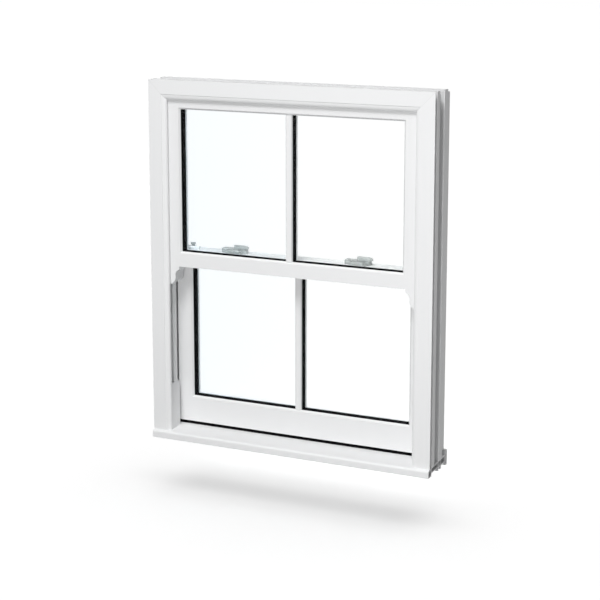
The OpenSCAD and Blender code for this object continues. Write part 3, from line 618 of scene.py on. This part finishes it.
def rod_tree(material):
    """A flat strip twisted about its length, on each point of the seed."""
    tree, enter, leave = tree_with("Spiral rod", (
        ("Length", "NodeSocketFloat"), ("Width", "NodeSocketFloat"), ("Thickness", "NodeSocketFloat"),
        ("Turns", "NodeSocketFloat"), ("Steps", "NodeSocketInt"),
    ))
    top = geometry_node(tree, "ShaderNodeCombineXYZ", Z=enter.outputs["Length"])
    line = geometry_node(tree, "GeometryNodeCurvePrimitiveLine", End=output(top, "Vector"))
    cut = geometry_node(
        tree, "GeometryNodeResampleCurve", Curve=output(line, "Curve"), Count=enter.outputs["Steps"]
    )
    along = geometry_node(tree, "GeometryNodeSplineParameter")
    angle = worked(tree, "MULTIPLY", output(along, "Factor"), enter.outputs["Turns"])
    twisted = geometry_node(tree, "GeometryNodeSetCurveTilt", Curve=output(cut, "Curve"), Tilt=angle)
    strip = geometry_node(
        tree, "GeometryNodeCurvePrimitiveQuadrilateral", Width=enter.outputs["Width"],
        Height=enter.outputs["Thickness"],
    )
    solid = geometry_node(
        tree, "GeometryNodeCurveToMesh", Curve=output(twisted, "Curve"),
        Profile_Curve=output(strip, "Curve"), Fill_Caps=True,
    )
    placed = geometry_node(
        tree, "GeometryNodeInstanceOnPoints", Points=enter.outputs["Geometry"],
        Instance=output(solid, "Mesh"),
    )
    finish_tree(tree, leave, output(placed, "Instances"), material)
    return tree


def pile_tree(material):
    """Tufts along the seed's lines, each leaning a little at random."""
    tree, enter, leave = tree_with("Pile strip", (
        ("Pitch", "NodeSocketFloat"), ("Height", "NodeSocketFloat"), ("Root", "NodeSocketFloat"),
    ))
    lines = geometry_node(tree, "GeometryNodeMeshToCurve", Mesh=enter.outputs["Geometry"])
    cut = geometry_node(
        tree, "GeometryNodeResampleCurve", {"mode": "LENGTH"}, Curve=output(lines, "Curve"),
        Length=enter.outputs["Pitch"],
    )
    tuft = geometry_node(
        tree, "GeometryNodeMeshCone", {"fill_type": "NGON"}, Vertices=4, Radius_Top=TUFT_TIP,
        Radius_Bottom=enter.outputs["Root"], Depth=enter.outputs["Height"],
    )
    lean = geometry_node(
        tree, "FunctionNodeRandomValue", {"data_type": "FLOAT_VECTOR"}, Min=TUFT_LEAN[0],
        Max=TUFT_LEAN[1], Seed=TUFT_SEED,
    )
    placed = geometry_node(
        tree, "GeometryNodeInstanceOnPoints", Points=output(cut, "Curve"), Instance=output(tuft, "Mesh"),
        Rotation=output(lean, "Value"),
    )
    finish_tree(tree, leave, output(placed, "Instances"), material)
    return tree


def screw_tree(material):
    """Round screw heads with a cross recess, facing as the seed's points say."""
    tree, enter, leave = tree_with("Screw heads", (("Radius", "NodeSocketFloat"),))
    ball = geometry_node(
        tree, "GeometryNodeMeshUVSphere", Segments=20, Rings=10, Radius=enter.outputs["Radius"]
    )
    flat = geometry_node(
        tree, "GeometryNodeTransform", Geometry=output(ball, "Mesh"), Scale=(1.0, 1.0, SCREW_FLAT)
    )
    head = output(flat, "Geometry")
    lift = worked(tree, "MULTIPLY", enter.outputs["Radius"], RECESS_LIFT)
    up = geometry_node(tree, "ShaderNodeCombineXYZ", Z=lift)
    for size in RECESS_ARMS:
        scaled = geometry_node(tree, "ShaderNodeVectorMath", {"operation": "SCALE"}, Vector=size)
        tree.links.new(enter.outputs["Radius"], next(s for s in scaled.inputs if s.name == "Scale"))
        arm = geometry_node(tree, "GeometryNodeMeshCube", Size=output(scaled, "Vector"))
        moved = geometry_node(
            tree, "GeometryNodeTransform", Geometry=output(arm, "Mesh"), Translation=output(up, "Vector")
        )
        recessed = geometry_node(tree, "GeometryNodeMeshBoolean", {"operation": "DIFFERENCE"})
        tree.links.new(head, recessed.inputs[0])
        tree.links.new(output(moved, "Geometry"), recessed.inputs[1])
        head = output(recessed, "Mesh")
    merged = geometry_node(tree, "GeometryNodeMergeByDistance", Geometry=head, Distance=SLIVER)
    way = geometry_node(
        tree, "GeometryNodeInputNamedAttribute", {"data_type": "FLOAT_VECTOR"}, Name="facing"
    )
    turn = geometry_node(
        tree, "FunctionNodeAlignRotationToVector", {"axis": "Z"}, Vector=output(way, "Attribute")
    )
    placed = geometry_node(
        tree, "GeometryNodeInstanceOnPoints", Points=enter.outputs["Geometry"],
        Instance=output(merged, "Geometry"), Rotation=output(turn, "Rotation"),
    )
    finish_tree(tree, leave, output(placed, "Instances"), material)
    return tree


class FinishProfiles(bpy.types.Operator):
    """Gives the frame, sill, sashes and beads their white finish"""

    bl_idname = "sash.finish_profiles"
    bl_label = "White profiles"

    def execute(self, context):
        settings = context.scene.sash_finish
        for names, label, stretch, welded in (
            (LEVEL_PROFILES, "white profile, level", LEVEL_DRAWN, False),
            (UPRIGHT_PROFILES, "white profile, upright", UPRIGHT_DRAWN, False),
            (LEVEL_WELDED, "white frame, level", LEVEL_DRAWN, True),
            (UPRIGHT_WELDED, "white frame, upright", UPRIGHT_DRAWN, True),
        ):
            paint(names, profile_material(label, settings, stretch, welded))
        return {"FINISHED"}


class FinishGlazing(bpy.types.Operator):
    """Gives the panes, gaskets, seals and spacers their finishes"""

    bl_idname = "sash.finish_glazing"
    bl_label = "Glass and seals"

    def execute(self, context):
        settings = context.scene.sash_finish
        seal = tuple(settings.seal_colour)
        paint(PANES, glass_material("double glazing", settings))
        paint(GASKETS, rubber_material("black gasket", seal, roughness=0.5, ridges=GASKET_RIDGES))
        paint(SPACERS, rubber_material("black spacer", seal, roughness=0.42, ridges=SPACER_RIDGES))
        return {"FINISHED"}


class FinishFittings(bpy.types.Operator):
    """Gives the catches, latches, balances and stiffeners their finishes"""

    bl_idname = "sash.finish_fittings"
    bl_label = "Fittings"

    def execute(self, context):
        settings = context.scene.sash_finish
        paint(CASTINGS, casting_material("satin silver", tuple(settings.metal_colour)))
        paint(STEELS, zinc_material("galvanised steel", tuple(settings.steel_colour)))
        tube = tuple(settings.tube_colour)
        shoe = tuple(settings.shoe_colour)
        paint(TUBES, plastic_material("pale tube plastic", tube, roughness=0.4, speckle=30.0))
        paint(SHOES, plastic_material("dark shoe plastic", shoe, roughness=0.5, speckle=90.0))
        return {"FINISHED"}


class SpiralRods(bpy.types.Operator):
    """Makes the twisted rods of the spiral balances"""

    bl_idname = "sash.spiral_rods"
    bl_label = "Spiral rods"

    def execute(self, context):
        details = context.scene.sash_details
        steel = zinc_material("bright spiral steel", tuple(context.scene.sash_finish.steel_colour))
        tree = rod_tree(steel)
        for sash in ("upper", "lower"):
            names = [f"{sash}_rod_{side}" for side, _ in SIDES]
            boxes = [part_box(name) for name in names]
            low, high = boxes[0]
            length = high.z - low.z
            points = [((a.x + b.x) / 2, (a.y + b.y) / 2, a.z) for a, b in boxes]
            turns = length / details.rod_lead
            piece = grown(f"{sash}_spiral_rods", tree, seed_mesh(f"{sash}_rod_seed", points), {
                "Length": length,
                "Width": (high.x - low.x) * ROD_FIT,
                "Thickness": details.rod_thickness,
                "Turns": turns * math.tau,
                "Steps": int(turns * ROD_STEPS),
            }, steel)
            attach(piece, node_body(names[0]))
            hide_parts(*names)
        return {"FINISHED"}


class PileStrips(bpy.types.Operator):
    """Makes the pile strips behind the frame's outside flange, tuft by tuft"""

    bl_idname = "sash.pile_strips"
    bl_label = "Pile strips"

    def execute(self, context):
        details = context.scene.sash_details
        pile = pile_material("grey pile", tuple(context.scene.sash_finish.pile_colour))
        low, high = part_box("frame_pile")
        depth = high.y - low.y
        middle = low.y + depth / 2
        points = []
        for row in range(details.bristle_rows):
            inset = PILE_STRIP * (row + 0.5) / details.bristle_rows
            for x in (low.x + inset, high.x - inset):
                points += [(x, middle, low.z), (x, middle, high.z - PILE_STRIP)]
            z = high.z - inset
            points += [(low.x, middle, z), (high.x, middle, z)]
        edges = [(i, i + 1) for i in range(0, len(points), 2)]
        piece = grown("pile_strips", pile_tree(pile), seed_mesh("pile_seed", points, edges), {
            "Pitch": details.bristle_pitch,
            "Height": depth * TUFT_HEIGHT,
            "Root": details.bristle_pitch * TUFT_ROOT,
        }, pile)
        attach(piece, "frame")
        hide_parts("frame_pile")
        return {"FINISHED"}


class Screws(bpy.types.Operator):
    """Puts the screw heads on the fittings"""

    bl_idname = "sash.screws"
    bl_label = "Screws"

    def execute(self, context):
        radius = context.scene.sash_details.screw_radius
        steel = zinc_material("bright screw steel", tuple(context.scene.sash_finish.steel_colour))
        tree = screw_tree(steel)
        sink = radius * SCREW_SINK
        lifts_low, lifts_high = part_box("finger_lifts")
        points = []
        axes = []
        for side, sign in SIDES:
            low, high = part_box(f"catch_base_{side}")
            middle = (low.y + high.y) / 2
            for x in (low.x + BASE_SCREW_INSET, high.x - BASE_SCREW_INSET):
                points.append((x, middle, high.z - sink))
                axes.append((0.0, 0.0, 1.0))
            edge = lifts_low.x if sign < 0 else lifts_high.x
            face = lifts_low.y + LIFT_PLATE
            for inset in LIFT_SCREW_INSETS:
                points.append((edge - sign * inset, face - sink, lifts_high.z - LIFT_SCREW_DROP))
                axes.append((0.0, 1.0, 0.0))
        seed = seed_mesh("fitting_seed", points, axes=axes)
        piece = grown("fitting_screws", tree, seed, {"Radius": radius}, steel)
        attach(piece, "lower_sash")
        return {"FINISHED"}


def sight_rays(tree):
    """1 for rays that see the background, straight, mirrored or through glass, and 0 for others."""
    rays = tree.nodes.new("ShaderNodeLightPath").outputs
    sight = worked(tree, "LESS_THAN", rays["Diffuse Depth"], 0.5)
    turned = worked(tree, "MAXIMUM", rays["Is Transmission Ray"], rays["Is Glossy Ray"])
    return worked(tree, "MAXIMUM", rays["Is Camera Ray"], worked(tree, "MULTIPLY", sight, turned))


def soft_lamp(name, spot, target, power):
    """A square soft lamp, with its place and width, that faces a point; returns its object."""
    place, size = spot
    lamp = bpy.data.lights.new(name, "AREA")
    lamp.size = size
    lamp.energy = power
    holder = bpy.data.objects.new(name, lamp)
    holder.location = place
    holder.rotation_euler = (Vector(target) - Vector(place)).to_track_quat("-Z", "Y").to_euler()
    holder.visible_transmission = False
    bpy.context.scene.collection.objects.link(holder)
    return holder


class Stage(bpy.types.Operator):
    """Makes the camera, the lamps, the white surroundings and the pale floor"""

    bl_idname = "sash.stage"
    bl_label = "Stage"

    def execute(self, context):
        scene = context.scene
        settings = scene.sash_stage
        scene.view_settings.view_transform = "Standard"
        self.camera(scene, settings)
        self.surroundings(scene, settings)
        middle = (CAD_BOX[0] + CAD_BOX[1]) / 2
        floor = self.floor(scene, settings)
        head = (0.0, 0.0, CAD_BOX[1].z)
        sill = (0.0, CAD_BOX[0].y, CAD_BOX[0].z)
        room_lamp = soft_lamp("room lamp", ROOM_LAMP, middle, settings.room_lamp)
        room_lamp.visible_glossy = False
        for lamp in (
            room_lamp,
            soft_lamp("key lamp", KEY_LAMP, middle, settings.key_lamp),
            soft_lamp("head lamp", HEAD_LAMP, head, settings.head_lamp),
            soft_lamp("low lamp", LOW_LAMP, sill, settings.low_lamp),
            soft_lamp("side lamp", SIDE_LAMP, middle, settings.side_lamp),
        ):
            self.light_only(lamp, floor, "EXCLUDE")
        self.light_only(self.sky(scene, settings), floor, "INCLUDE")
        return {"FINISHED"}

    def light_only(self, lamp, floor, state):
        """Keeps a lamp off the floor, or to the floor alone."""
        group = bpy.data.collections.new(lamp.name + " links")
        group.objects.link(floor)
        group.collection_objects[0].light_linking.link_state = state
        lamp.light_linking.receiver_collection = group

    def sky(self, scene, settings):
        """The broad light from above that casts the window's shadow; returns its object."""
        lamp = bpy.data.lights.new("sky lamp", "SUN")
        lamp.energy = settings.sky_lamp
        lamp.angle = settings.sky_spread
        holder = bpy.data.objects.new("sky lamp", lamp)
        scene.collection.objects.link(holder)
        return holder

    def camera(self, scene, settings):
        """The camera at the photograph's viewing angle."""
        data = bpy.data.cameras.new("camera")
        data.lens = settings.lens
        data.sensor_width = SENSOR
        data.shift_y = settings.shift
        data.clip_end = VIEW_END
        flat = math.cos(settings.elevation)
        back = Vector((
            math.sin(settings.azimuth) * flat,
            -math.cos(settings.azimuth) * flat,
            math.sin(settings.elevation),
        ))
        holder = bpy.data.objects.new("camera", data)
        holder.location = Vector(settings.target) + back * settings.distance
        holder.rotation_euler = (-back).to_track_quat("-Z", "Y").to_euler()
        scene.collection.objects.link(holder)
        scene.camera = holder

    def surroundings(self, scene, settings):
        """A world that is white to the eye and weak as a light."""
        world = bpy.data.worlds.new("white surroundings")
        world.use_nodes = True
        scene.world = world
        tree = world.node_tree
        level = tree.nodes.new("ShaderNodeMapRange")
        feed_named(tree, level, {"Value": sight_rays(tree), "To_Min": settings.ambient, "To_Max": 1.0})
        feed_named(tree, tree.nodes["Background"], {"Color": WHITE, "Strength": level.outputs["Result"]})

    def floor(self, scene, settings):
        """A pale floor that is white to the eye outside the window's shadow; returns its object."""
        half = FLOOR_HALF
        z = CAD_BOX[0].z - settings.floor_drop
        corners = [(-half, -half, z), (half, -half, z), (half, half, z), (-half, half, z)]
        mesh = bpy.data.meshes.new("floor")
        mesh.from_pydata(corners, [], [(0, 1, 2, 3)])
        nodes = Nodes("pale floor")
        seen = sight_rays(nodes.tree)
        glow = nodes.add("ShaderNodeMapRange", Value=seen, To_Max=settings.floor_glow)
        nodes.shade(
            Base_Color=nodes.mixed(seen, FLOOR_LIT, FLOOR_SEEN),
            Roughness=1.0,
            Specular_IOR_Level=0.0,
            Emission_Color=WHITE,
            Emission_Strength=glow.outputs["Result"],
        )
        mesh.materials.append(nodes.material)
        floor = bpy.data.objects.new("floor", mesh)
        scene.collection.objects.link(floor)
        return floor


OPERATORS = (FinishProfiles, FinishGlazing, FinishFittings, SpiralRods, PileStrips, Screws, Stage)


class SashPanel(bpy.types.Panel):
    """Lists the settings and the steps"""

    bl_idname = "VIEW3D_PT_sash_window"
    bl_label = "Sash window"
    bl_space_type = "VIEW_3D"
    bl_region_type = "UI"
    bl_category = "Sash window"

    def draw(self, context):
        for group in (context.scene.sash_finish, context.scene.sash_details, context.scene.sash_stage):
            box = self.layout.box()
            for name in group.bl_rna.properties.keys():
                if name not in ("rna_type", "name"):
                    box.prop(group, name)
        for operator in OPERATORS:
            self.layout.operator(operator.bl_idname)


CLASSES = (FinishSettings, DetailSettings, StageSettings, *OPERATORS, SashPanel)


def register():
    for item in CLASSES:
        bpy.utils.register_class(item)
    bpy.types.Scene.sash_finish = PointerProperty(type=FinishSettings)
    bpy.types.Scene.sash_details = PointerProperty(type=DetailSettings)
    bpy.types.Scene.sash_stage = PointerProperty(type=StageSettings)


def unregister():
    del bpy.types.Scene.sash_stage
    del bpy.types.Scene.sash_details
    del bpy.types.Scene.sash_finish
    for item in reversed(CLASSES):
        bpy.utils.unregister_class(item)


def main():
    register()
    bpy.ops.sash.finish_profiles()
    bpy.ops.sash.finish_glazing()
    bpy.ops.sash.finish_fittings()
    bpy.ops.sash.spiral_rods()
    bpy.ops.sash.pile_strips()
    bpy.ops.sash.screws()
    bpy.ops.sash.stage()


if __name__ == "__main__":
    main()
